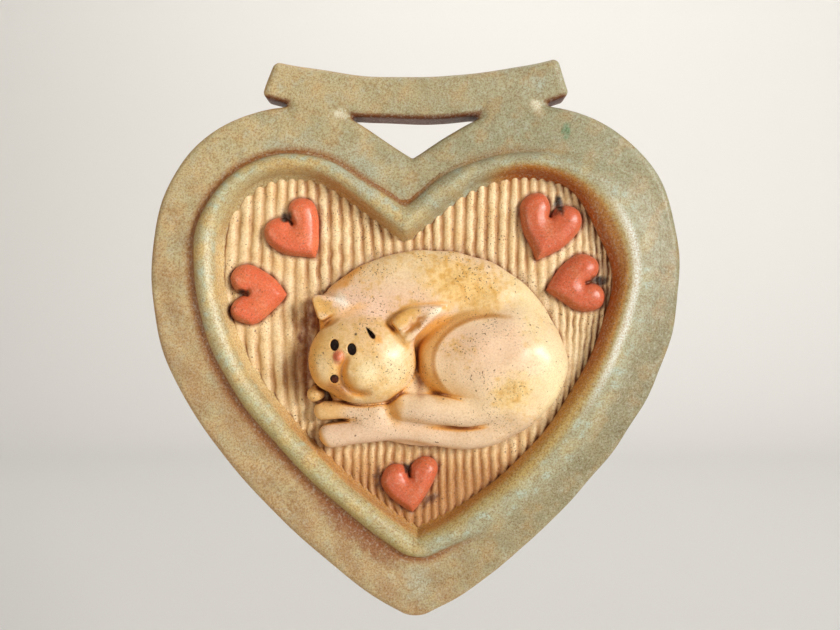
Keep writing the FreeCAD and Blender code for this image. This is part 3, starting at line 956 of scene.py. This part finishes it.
def bead_paint(x, z, h, normal, crevice):
    """Blue-green and straw on the crest, and honey to brown down the inner wall, with painted highlights
    on the crests, painted shade at the foot of the top arch and in the crevices, and painted shadow at
    the outer foot.
    """
    across = bead_across(x, z)[0]
    right = ease(x, -3.0, 3.0)
    left = 1.0 - right
    spread = spread_side(x, z)
    low = ease(z, -50.0, -75.0)
    high = 1.0 - low
    top = ease(z, -30.0, -20.0)
    blotches = 0.5 + 0.3 * mottle(x, z) + 0.25 * small_mottle(x, z)
    crest = ease(np.abs(across + 0.1), 0.75, 0.15)
    pools = ease(small_mottle(z, x) + 0.6 * mottle(x, z), 0.2, 1.3)
    side_highlight = (1.0 - top) * high * left * ease(np.abs(across + 0.35), 0.45, 0.1)
    highlight = ease(z, -14.0, -26.0) * ease(np.abs(across + 0.07), 0.30, 0.08)
    inner_edge = ease(across, -0.72, -0.92) * left
    under_arch = ease(across, -0.2, -0.6) * top * left
    arm = ease(across, -0.45, -0.8) * ease(x, -28.0, -18.0) * top * left
    wall = ease(across, 0.1, -0.45) * ease(x, 14.0, 26.0)
    low_wall = ease(across, 0.0, -0.6) * right * low
    foot_glaze_and_shadow = ease(across, 0.66, 0.92) * groove_glaze_and_shadow(x, z)
    beyond = ease(across, 0.35, 0.8) * ease(spread, 0.1, 0.6)
    return glazed(np.tile((0.74, 0.68, 0.50), (len(x), 1)), (
        ((0.64, 0.64, 0.53), 0.85 * right),
        ((0.78, 0.82, 0.70), 0.85 * blotches * crest * (1.0 - 0.6 * right)),
        (SEA_GREEN, 0.6 * pools),
        ((0.84, 0.72, 0.46), 0.7 * ease(mottle(z, -x), 0.0, 1.3) * (1.0 - 0.6 * right)),
        # Painted highlight on the inner slope of the left coil
        ((0.90, 0.86, 0.71), 0.6 * side_highlight),
        # Painted highlight along the crest down the right side
        ((0.97, 1.0, 1.0), 0.85 * spread * high * highlight),
        ((0.78, 0.71, 0.47), 0.55 * low * left * (0.6 + 0.4 * mottle(x, z))),
        ((0.70, 0.64, 0.38), 0.6 * low * left * ease(across, 0.1, 0.6)),
        ((0.90, 0.80, 0.58), 0.8 * inner_edge * (1.0 - top)),
        ((0.76, 0.52, 0.25), 0.7 * inner_edge * ease(z, -60.0, -78.0)),
        # A brown line at the foot of the top arch, with painted shade where it faces down
        ((0.66, 0.45, 0.22), 0.8 * top * left * ease(across, -0.85, -1.0)),
        ((0.76, 0.72, 0.54), 0.8 * under_arch),
        ((0.66, 0.46, 0.22), 0.8 * arm),
        ((0.72, 0.62, 0.38), 0.8 * wall),
        ((0.74, 0.48, 0.18), 0.85 * wall * ease(across, -0.25, -0.6) * (1.0 - 0.6 * low)),
        ((0.64, 0.34, 0.05), wall * ease(across, -0.6, -0.9) * (1.0 - 0.5 * low)),
        ((0.80, 0.72, 0.46), 0.75 * low_wall),
        ((0.80, 0.58, 0.26), 0.7 * right * low * ease(across, -0.6, -0.95)),
        *patches(x, z, BEAD_PATCHES),
        # Brown glaze and painted shadow at the coil's outer foot
        ((0.56, 0.34, 0.15), 0.85 * grooved_side(x, z) * foot_glaze_and_shadow),
        # Brown glaze pooled in the crevices, and painted shade there
        (DEEP_BROWN, 0.8 * ease(crevice, 0.45, 0.9)),
        (rim_paint(x, z, h, normal, crevice), beyond),
    ))


PANEL_PATCHES = (
    (DARK_BROWN, 0.75, (-20.8, -39.4), (1.8, 0.6)),
    (DARK_BROWN, 0.75, (3.4, -87.4), (2.2, 0.9), 35.0),
    (DARK_BROWN, 0.75, (-8.7, -82.5), (0.7, 2.4)),
)


def notch_darks(x, z, amount):
    """Layers that darken the hearts' notches to near black."""
    return [(BLACK_BROWN, amount * patch(x, z, *notch_dark, 0.0, 0.5, 0.3)) for notch_dark in NOTCH_DARKS]


def panel_paint(x, z, h, normal, crevice):
    """Cream on the ridges, brown in the grooves and round what is applied to the panel, with wash and
    painted shadow left of the cat's head and painted shade in the crevices.
    """
    strong = ease(x, -34.0, -20.0) * ease(x, 34.0, 22.0)
    strong = 0.42 + 0.42 * strong + 0.25 * depth_wobble(x, z)
    groove = ease(comb(x, z), 0.62, 0.1) * strong * (1.0 - 0.7 * smeared(x, z))
    beside = ease(near_cat(x, z) + 0.4 * scrape_wobble(x, z), 3.0, 0.2)
    beside = 0.55 * beside * (0.35 + 0.65 * ease(small_mottle(x, z), -0.4, 0.9))
    # Red-brown wash and painted shadow on the panel left of the head
    head_wash_and_shadow = patch(x, z, (-25.6, -54.5), (1.7, 8.5), 4.0, 0.5, 0.5)
    head_wash_and_shadow = np.maximum(head_wash_and_shadow, patch(x, z, (-24.2, -45.0), (1.0, 4.0), 4.0))
    head_wash_and_shadow = head_wash_and_shadow * (0.7 + 0.25 * small_mottle(x, z) + 0.15 * grain_mottle(x, z))
    return glazed(np.tile((0.97, 0.88, 0.70), (len(x), 1)), (
        ((0.92, 0.79, 0.57), 0.35 + 0.35 * mottle(x, z)),
        ((0.70, 0.49, 0.27), groove),
        ((0.95, 0.88, 0.73), 0.5 * ease(x, 20.0, 38.0) * (1.0 - groove)),
        ((0.68, 0.44, 0.21), 0.7 * ease(z, -73.0, -84.0)),
        (OLD_BROWN, beside),
        # Wash and painted shadow left of the head
        ((0.45, 0.21, 0.09), head_wash_and_shadow),
        ((0.62, 0.42, 0.24), 0.6 * patch(x, z, (-27.5, -58.0), (2.8, 4.5), 0.0, 0.6)),
        *patches(x, z, PANEL_PATCHES),
        *notch_darks(x, z, 0.85),
        (RED_BROWN, 0.5 * ease(near_hearts(x, z), 0.9, 0.1)),
        # Brown glaze pooled in the crevices, and painted shade there
        (RED_BROWN, 0.8 * ease(crevice, 0.45, 0.95)),
    ))


def small_heart_paint(x, z, h, normal, crevice):
    """Coral, with painted shade: browner on the sides that face down and left, and a little darker on
    the hearts to the right and at the bottom.
    """
    low_left = -0.8 * normal[:, 0] - 0.6 * normal[:, 1]
    coral = glazed(np.tile(CORAL, (len(x), 1)), (
        ((0.91, 0.50, 0.33), 0.25 + 0.3 * mottle(x, z) + 0.15 * small_mottle(x, z)),
    ))
    # Painted shade: the hearts on the right and at the bottom a little darker
    return glazed(coral * (1.0 - 0.08 * ease(x - z, 20.0, 60.0))[:, None], (
        # Painted shade on the sides that face down and left
        ((0.68, 0.34, 0.15), 0.85 * ease(low_left, 0.25, 0.85)),
        *notch_darks(x, z, 0.9),
        # Brown glaze pooled in the crevices, and painted shade there
        ((0.52, 0.22, 0.10), 0.9 * ease(crevice, 0.35, 0.85)),
    ))


# Amount, middle, half sizes and turn of each grainy ochre patch on the cat
CAT_OCHRES = (
    (1.0, (11.0, -37.8), (9.5, 4.6), -20.0),
    (0.6, (6.0, -32.0), (9.0, 1.6), -8.0),
    (0.45, (27.0, -47.0), (2.6, 5.5), -15.0),
    (0.5, (8.5, -51.5), (3.4, 1.6), 10.0),
    (0.6, (22.0, -38.0), (5.0, 3.5), -45.0),
    (0.6, (-2.5, -42.5), (3.5, 1.8), 0.0),
    (0.4, (-8.0, -34.0), (8.0, 2.4), 22.0),
    (0.6, (-10.0, -38.5), (2.6, 1.4), 40.0),
    (0.75, (20.5, -62.5), (3.6, 2.6), 30.0),
    (0.35, (10.0, -54.0), (3.5, 2.5), 0.0),
    (0.5, (-5.0, -49.5), (4.5, 3.0), -30.0),
    (0.4, (22.0, -70.0), (7.0, 2.4), 30.0),
)
BACK_PATCHES = (
    ((0.96, 0.81, 0.49), 0.6, (10.6, -38.6), (8.5, 4.6), -20.0, 0.6, 0.8),
    ((0.96, 0.83, 0.52), 0.5, (21.5, -62.0), (4.5, 3.6), 30.0, 0.6, 0.8),
)
# Honey wash and painted shade on the left-facing slope at the top left of the back
SHOULDER_WASH_AND_SHADE = (HONEY, 0.75, (-15.4, -35.4), (1.6, 5.5), -44.0, 0.8, 0.5)
# Painted shade: red-brown in the valley between head and haunch, honey on the left end of the hind foot
CHEST_SHADE = (
    (RED_BROWN, 0.65, (1.0, -58.8), (1.0, 3.4), 0.0, 0.8, 0.2),
    (HONEY, 0.85, (-4.8, -65.8), (1.8, 3.4), 0.0, 0.6, 0.2),
)
# Painted highlights on the right of the head and on the right cheek
HEAD_HIGHLIGHTS = (
    (CREAM, 0.7, (-4.5, -54.0), (2.8, 6.0), 0.0, 0.7, 0.4),
    (CREAM, 0.6, (-10.4, -57.0), (2.2, 2.6), 0.0, 0.7, 0.2),
)
# A brown line under the brow, a dark dot, and the left cheek pad paler: cream glaze and a painted
# highlight
FACE_PATCHES = (
    ((0.70, 0.47, 0.20), 0.6, (-18.6, -46.7), (1.7, 0.35), 32.0, 0.7, 0.1),
    (BLACK_BROWN, 0.8, (-13.2, -49.1), (0.28, 0.24), 0.0, 0.5, 0.0),
    ((0.90, 0.79, 0.60), 0.85, (-20.4, -56.6), (1.7, 3.4), 8.0, 0.5, 0.2),
)
# Painted shade below and left of the right cheek and beside the cut in the brow, then the pink of the
# nose
MUZZLE_PATCHES = (
    ((0.72, 0.44, 0.17), 0.85, (-17.6, -62.0), (3.0, 1.9), -32.0, 0.7, 0.3),
    (HONEY, 0.6, (-8.2, -50.4), (0.9, 0.7), -40.0, 0.6, 0.2),
    ((0.88, 0.50, 0.36), 0.9, (-16.9, -54.1), (1.2, 1.5), 0.0, 0.4, 0.1),
)
# Ochre in the ear hollows, deeper brown in the right one, a painted shadow along the right ear's upper
# edge, and painted highlights on the right ear's tip and the left ear's ridge
EAR_PATCHES = (
    (OCHRE, 0.9, (-21.0, -42.9), (3.4, 1.6), -24.0, 0.5, 0.4),
    (OCHRE, 0.95, (-2.4, -45.0), (3.8, 1.8), 36.0, 0.5, 0.4),
    ((0.72, 0.46, 0.17), 0.9, (-0.3, -47.2), (3.2, 0.8), 41.0, 0.6, 0.3),
    ((0.74, 0.50, 0.22), 0.7, (-4.4, -45.2), (2.4, 0.8), 38.0, 0.7, 0.2),
    ((0.99, 0.95, 0.84), 0.8, (4.4, -44.2), (1.9, 0.8), 22.0, 0.7, 0.2),
    ((0.98, 0.96, 0.90), 0.8, (-17.0, -41.4), (2.0, 1.1), -40.0, 0.7, 0.2),
)


def cat_paint(x, z, h, normal, crevice):
    """Cream with ochre patches, honey and brown in the creases as glaze that ran together and painted
    shade, painted shade on the sides away from the light, and painted highlights.
    """
    grains = ease(small_mottle(x, z) + 0.9 * grain_mottle(x, z), -0.4, 1.2)
    ochres = [
        (OCHRE, amount * patch(x, z, *shape, 0.6, 1.2) * (0.25 + 0.85 * grains))
        for amount, *shape in CAT_OCHRES
    ]
    on_thigh = thigh_field(x, z, 0.0)
    flank = ease(on_thigh, -0.9, 0.1) * ease(haunch_flat(x, z, 0.0), 1.6, 0.2)
    flank = flank * ease(x - 0.5 * z, 43.0, 35.0) * ease(z, -67.0, -62.0)
    fold = ease(np.abs(on_thigh), 0.8, 0.1) * ease(x - 0.5 * z, 46.0, 39.0)
    head = ease(head_flat(x, z, 0.0), 0.5, -1.5)
    # Painted shade down the left of the head
    left_face_shade = ease(x + 0.3 * (z + 55.0), -15.5, -21.5) * ease(z, -67.0, -63.0)
    left_face_shade = left_face_shade * ease(z, -40.0, -46.0)
    cheek = cheek_right_flat(x, z, 0.0)
    round_cheek = ease(np.abs(cheek - 0.3), 1.5, 0.2) * below_cheek(x, z)
    low_left = -0.9 * normal[:, 0] - 0.4 * normal[:, 1]
    slit = ease(slit_flat(x, z), 0.12, -0.08)
    return glazed(np.tile((0.96, 0.86, 0.69), (len(x), 1)), (
        ((0.95, 0.81, 0.70), 0.45 + 0.35 * large_mottle(x, z)),
        *patches(x, z, BACK_PATCHES),
        *ochres,
        *patches(x, z, (SHOULDER_WASH_AND_SHADE,)),
        ((0.97, 0.91, 0.71), 0.65 * ease(x + 0.3 * (z + 50.0), 21.0, 28.0)),
        # Painted shade: honey on the fold of the flank, which faces away from the light, and brown in
        # the crease round the thigh
        ((0.87, 0.66, 0.36), 0.8 * flank),
        ((0.70, 0.45, 0.18), 0.65 * fold * ease(z, -64.0, -60.0)),
        *patches(x, z, CHEST_SHADE),
        ((0.88, 0.77, 0.65), 0.55 * ease(z + 0.15 * x, -62.0, -67.0)),
        ((0.88, 0.71, 0.43), 0.8 * head * (0.6 + 0.4 * grains)),
        *patches(x, z, HEAD_HIGHLIGHTS),
        ((0.92, 0.72, 0.40), 0.8 * left_face_shade),
        *patches(x, z, FACE_PATCHES),
        # Painted shade: a ring round the right cheek on its left and lower sides
        ((0.74, 0.47, 0.20), 0.7 * round_cheek),
        *patches(x, z, MUZZLE_PATCHES),
        *patches(x, z, EAR_PATCHES),
        # Honey wash and painted shade on the sides that face down and left
        (HONEY, 0.75 * ease(low_left, 0.3, 0.85)),
        # Honey and brown glaze pooled in the creases, and painted shade there
        (HONEY, 0.7 * ease(crevice, 0.2, 0.55)),
        (RED_BROWN, 0.8 * ease(crevice, 0.5, 0.95)),
        # Painted shade: near black in the cut in the brow
        (BLACK_BROWN, slit),
        (DEEP_RED, 0.8 * slit * ease(x - 0.4 * z, 9.3, 10.4)),
    ))


def paw_paint(x, z, h, normal, crevice):
    """The cat's own glaze, yellower on the toes and darker between them, as glaze pooled there and
    painted shade.
    """
    return glazed(cat_paint(x, z, h, normal, crevice), (
        ((0.90, 0.73, 0.47), 0.85 * ease(x, -14.5, -18.5)),
        # Brown glaze pooled between the toes, and painted shade there
        ((0.40, 0.20, 0.10), 0.9 * ease(crevice, 0.5, 0.95)),
    ))


def nose_paint(x, z, h, normal, crevice):
    """Pink that fades into the cream round it."""
    return glazed(np.tile((0.90, 0.57, 0.42), (len(x), 1)), (
        ((0.80, 0.40, 0.26), 0.4 + 0.3 * small_mottle(x, z)),
        ((0.93, 0.76, 0.52), 0.7 * ease(np.hypot(x + 17.1, z + 53.9), 0.7, 1.5)),
    ))


def pit_paint(x, z, h, normal, crevice):
    """Near black in the eyes, and redder in the mouth."""
    return glazed(np.tile(BLACK_BROWN, (len(x), 1)), (
        ((0.16, 0.08, 0.06), 0.4 + 0.4 * grain_mottle(x, z)),
        ((0.36, 0.16, 0.08), 0.8 * patch(x, z, (-17.8, -59.2), (0.7, 0.8), 0.0, 0.6, 0.2)),
    ))


def glaze_marks(points, field, paint):
    """Colour of each point in linear light, with how glazed it is as alpha."""
    normal = slope(field, points)
    normal /= np.maximum(np.linalg.norm(normal, axis=1), 1e-6)[:, None]
    # How shut in each point is by the clay round it, which the paints use for brown glaze pooled in
    # hollows and for painted shade
    crevice = 0.0
    for reach in (0.5, 1.1, 2.2):
        free = all_clay(*(points + reach * normal).T)
        crevice = crevice + np.clip(1.0 - free / reach, 0.0, 1.0) / 3.0
    x, z, h = points.T
    bare = ease(h, 1.4, 0.5)
    colour = glazed(paint(x, z, h, normal, crevice), ((BARE_CLAY, 0.85 * bare),))
    colour = np.clip(colour, 0.0, 1.0)
    linear = np.where(colour <= 0.04045, colour / 12.92, ((colour + 0.055) / 1.055) ** 2.4)
    return np.concatenate((linear, 1.0 - bare[:, None]), 1)


# ---- Glaze materials
def glaze_material(name, rough, grain, specks, bump, shine=0.5):
    """Glaze over the painted colour, duller where the clay is bare.

    Grain and specks are strengths, and bump is in millimetres.
    """
    material = bpy.data.materials.new(name)
    material.use_nodes = True
    nodes, links = material.node_tree.nodes, material.node_tree.links
    nodes.clear()
    output = nodes.new("ShaderNodeOutputMaterial")
    shader = nodes.new("ShaderNodeBsdfPrincipled")
    place = nodes.new("ShaderNodeTexCoord").outputs["Object"]
    painted = nodes.new("ShaderNodeAttribute")
    painted.attribute_name = "glaze"

    def node(kind, inputs, **settings):
        """A new node, with each input given a value or linked to another node's output."""
        made = nodes.new(kind)
        for setting, value in settings.items():
            setattr(made, setting, value)
        for slot, value in inputs.items():
            if isinstance(value, bpy.types.NodeSocket):
                links.new(value, made.inputs[slot])
            else:
                made.inputs[slot].default_value = value
        return made.outputs

    def noise(scale, detail, roughness=0.5):
        inputs = {"Vector": place, "Scale": scale, "Detail": detail, "Roughness": roughness}
        return node("ShaderNodeTexNoise", inputs)["Fac"]

    def ramp(value, low, high, start, end):
        inputs = {"Value": value, "From Min": low, "From Max": high, "To Min": start, "To Max": end}
        return node("ShaderNodeMapRange", inputs)["Result"]

    def maths(operation, first, second):
        return node("ShaderNodeMath", {0: first, 1: second}, operation=operation)["Value"]

    def mix(kind, amount, under, over):
        inputs = {"Factor": amount, "A": under, "B": (*over, 1.0)}
        return node("ShaderNodeMix", inputs, data_type="RGBA", blend_type=kind)["Result"]

    fine = noise(2600.0, 2.0, 0.65)
    pale = noise(1700.0, 2.0, 0.65)
    broad = noise(420.0, 4.0)
    speck = noise(2500.0, 1.0)
    fleck = noise(1000.0, 1.0)
    cluster = noise(150.0, 2.0)
    iron = (0.14, 0.06, 0.02)
    crowded = ramp(cluster, 0.45, 0.62, 0.06, 1.0)
    specked = maths("MULTIPLY", ramp(speck, 0.62, 0.71, 0.0, specks), crowded)
    colour = painted.outputs["Color"]
    for kind, amount, over in (
        ("MULTIPLY", ramp(fine, 0.42, 0.66, 0.0, grain), (0.58, 0.38, 0.20)),
        ("MIX", ramp(pale, 0.50, 0.75, 0.0, 0.5 * grain), (0.60, 0.60, 0.50)),
        ("MULTIPLY", ramp(broad, 0.5, 0.7, 0.0, 0.35), (0.86, 0.76, 0.62)),
        ("MIX", specked, iron),
        ("MIX", ramp(fleck, 0.73, 0.765, 0.0, 0.8 * specks), iron),
    ):
        colour = mix(kind, amount, colour, over)
    satin = ramp(broad, 0.3, 0.7, rough - 0.05, rough + 0.08)
    clay = ramp(painted.outputs["Alpha"], 0.0, 1.0, 0.35, 0.0)
    relief = node("ShaderNodeBump", {"Strength": 0.6, "Distance": bump * MM, "Height": fine})
    links.new(colour, shader.inputs["Base Color"])
    links.new(maths("ADD", satin, clay), shader.inputs["Roughness"])
    shader.inputs["Specular IOR Level"].default_value = shine
    links.new(relief["Normal"], shader.inputs["Normal"])
    links.new(shader.outputs["BSDF"], output.inputs["Surface"])
    return material


RIM_GLAZE = glaze_material("rim_glaze", 0.46, 0.80, 0.40, 0.12)
PANEL_GLAZE = glaze_material("panel_glaze", 0.52, 0.45, 1.00, 0.10)
HEART_GLAZE = glaze_material("heart_glaze", 0.34, 0.42, 0.60, 0.05)
CAT_GLAZE = glaze_material("cat_glaze", 0.33, 0.28, 1.00, 0.05)
PIT_GLAZE = glaze_material("dark_glaze", 0.50, 0.10, 0.20, 0.03, 0.15)


# ---- Pieces
PIECE_MARGIN = 3.2


def hand_over(name, slot, points, quads, material, marks):
    """Make the object that stands for one CAD node."""
    piece = add_object(name + "_clay", points, quads, material, marks)
    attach(piece, "root")
    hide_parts(name)


def make_piece(name, slot, field, step, paint, material, low_h=None):
    """Mesh, paint and hand over a piece that is given as a field."""
    low, high = node_box(name)
    if low_h is not None:
        low[2] = low_h
    points, quads = field_mesh(field, low - PIECE_MARGIN, high + PIECE_MARGIN, step)
    hand_over(name, slot, points, quads, material, glaze_marks(points, field, paint))


# Each piece's material slot, mesh step and paint, in the order that they lap
RIM_PIECES = (
    ("rim_frame", "rim_glaze", 0.5, rim_paint),
    ("hanger_bar", "rim_glaze", 0.45, rim_paint),
    ("hanger_neck_left", "rim_glaze", 0.45, rim_paint),
    ("hanger_neck_right", "rim_glaze", 0.45, rim_paint),
    ("bead_coil_left", "bead_glaze", 0.4, bead_paint),
    ("bead_coil_right", "bead_glaze", 0.4, bead_paint),
)
CAT_PIECES = (
    ("cat_body", "cat_glaze", 0.33, cat_paint),
    ("cat_haunch", "cat_glaze", 0.33, cat_paint),
    ("cat_hind_foot", "cat_glaze", 0.3, cat_paint),
    ("cat_tail", "cat_glaze", 0.3, cat_paint),
    ("cat_head", "cat_glaze", 0.25, cat_paint),
    ("cat_cheek_right", "cat_glaze", 0.25, cat_paint),
    ("cat_cheek_left", "cat_glaze", 0.22, cat_paint),
    ("cat_ear_left", "cat_ochre_glaze", 0.22, cat_paint),
    ("cat_ear_right", "cat_ochre_glaze", 0.22, cat_paint),
    ("cat_forepaw_front", "cat_ochre_glaze", 0.22, paw_paint),
    ("cat_forepaw_rear", "cat_ochre_glaze", 0.2, paw_paint),
    ("cat_nose", "nose_glaze", 0.12, nose_paint),
)
for rows, parts_of, joined, material, low_h in (
    (RIM_PIECES, rim_parts, rim_joined, RIM_GLAZE, None),
    (CAT_PIECES, cat_parts, cat_pierced, CAT_GLAZE, CAT_LOW),
):
    for order, (name, slot, step, paint) in enumerate(rows):
        skin = piece_of(name, parts_of, joined, order, step)
        make_piece(name, slot, skin, step, paint, material, low_h)


def pool_field(shape):
    """Dark glaze lying in a pit, its surface a little below the skin."""

    def field(x, z, h):
        skin = cat_joined(cat_parts(x, z, h), x, z, h)
        level = skin + 0.55 - 0.25 * np.clip(pit_flat(x, z, *shape) + 1.0, 0.0, 1.0)
        return rounded_and(pit_flat(x, z, *shape) - 0.15, np.abs(level + 0.5) - 0.5, 0.12)

    return field


for name, shape in CAT_PITS.items():
    make_piece(name, "dark_glaze", pool_field(shape), 0.11, pit_paint, PIT_GLAZE)

for name, field in HEART_FIELDS.items():
    make_piece(name, "heart_glaze", field, 0.28, small_heart_paint, HEART_GLAZE)

points, quads = panel_mesh()
marks = glaze_marks(points, lambda x, z, h: h - panel_top(x, z), panel_paint)
hand_over("combed_panel", "panel_glaze", points, quads, PANEL_GLAZE, marks)


# ---- Studio
def flat_material(name, colour, roughness):
    """A plain material for the studio."""
    material = bpy.data.materials.new(name)
    material.use_nodes = True
    shader = material.node_tree.nodes["Principled BSDF"]
    shader.inputs["Base Color"].default_value = (*colour, 1.0)
    shader.inputs["Roughness"].default_value = roughness
    return material


def studio_cove():
    """A pale floor that sweeps up into a backdrop."""
    floor, front, back, bend, top, half = -0.20, -2.0, 1.1, 0.35, 1.6, 2.2
    outline = [(front, floor), (back - bend, floor)]
    for step in range(1, 13):
        turn = math.pi / 2.0 * step / 12
        outline.append((back - bend + bend * math.sin(turn), floor + bend * (1.0 - math.cos(turn))))
    outline.append((back, top))
    points = [(side, y, z) for y, z in outline for side in (-half, half)]
    faces = [(2 * i, 2 * i + 1, 2 * i + 3, 2 * i + 2) for i in range(len(outline) - 1)]
    mesh = bpy.data.meshes.new("studio_cove")
    mesh.from_pydata(points, [], faces)
    mesh.shade_smooth()
    mesh.materials.append(flat_material("studio_paper", (0.80, 0.79, 0.77), 0.9))
    cove = bpy.data.objects.new("studio_cove", mesh)
    bpy.context.scene.collection.objects.link(cove)
    return cove


def soft_light(name, place, target, size, power, colour):
    """A round area light aimed at a target: metres and watts."""
    lamp = bpy.data.lights.new(name, "AREA")
    lamp.shape = "DISK"
    lamp.size = size
    lamp.energy = power
    lamp.color = colour
    light = bpy.data.objects.new(name, lamp)
    light.location = place
    aim = Vector(target) - Vector(place)
    light.rotation_euler = aim.to_track_quat("-Z", "Y").to_euler()
    bpy.context.scene.collection.objects.link(light)
    return light


cove = studio_cove()
PLAQUE = (0.0, 0.0, -0.05)
BACKDROP = (0.0, 1.1, 0.0)
key = soft_light(
    "key_light", place=(1.49, -1.39, 0.42), target=PLAQUE, size=0.8, power=42.0, colour=(1.0, 0.97, 0.92)
)
fill = soft_light(
    "fill_light", place=(-0.8, -0.6, -0.15), target=PLAQUE, size=0.6, power=4.2, colour=(1.0, 0.82, 0.58)
)
back_light = soft_light(
    "back_light", place=(0.0, 0.3, 1.0), target=BACKDROP, size=1.0, power=6.0, colour=(1.0, 0.98, 0.95)
)

world = bpy.data.worlds.new("studio_air")
world.use_nodes = True
air = world.node_tree.nodes["Background"]
air.inputs["Color"].default_value = (0.95, 0.97, 1.0, 1.0)
air.inputs["Strength"].default_value = 0.14
bpy.context.scene.world = world
bpy.context.scene.view_settings.view_transform = "Standard"

camera_data = bpy.data.cameras.new("camera")
camera_data.lens = 37.586
camera_data.sensor_width = 36.0
camera_data.clip_start = 0.01
camera_data.clip_end = 10.0
camera = bpy.data.objects.new("camera", camera_data)
camera.location = (0.00092, -0.208, -0.0449)
camera.rotation_euler = (math.pi / 2.0, 0.0, 0.0)
bpy.context.scene.collection.objects.link(camera)
bpy.context.scene.camera = camera
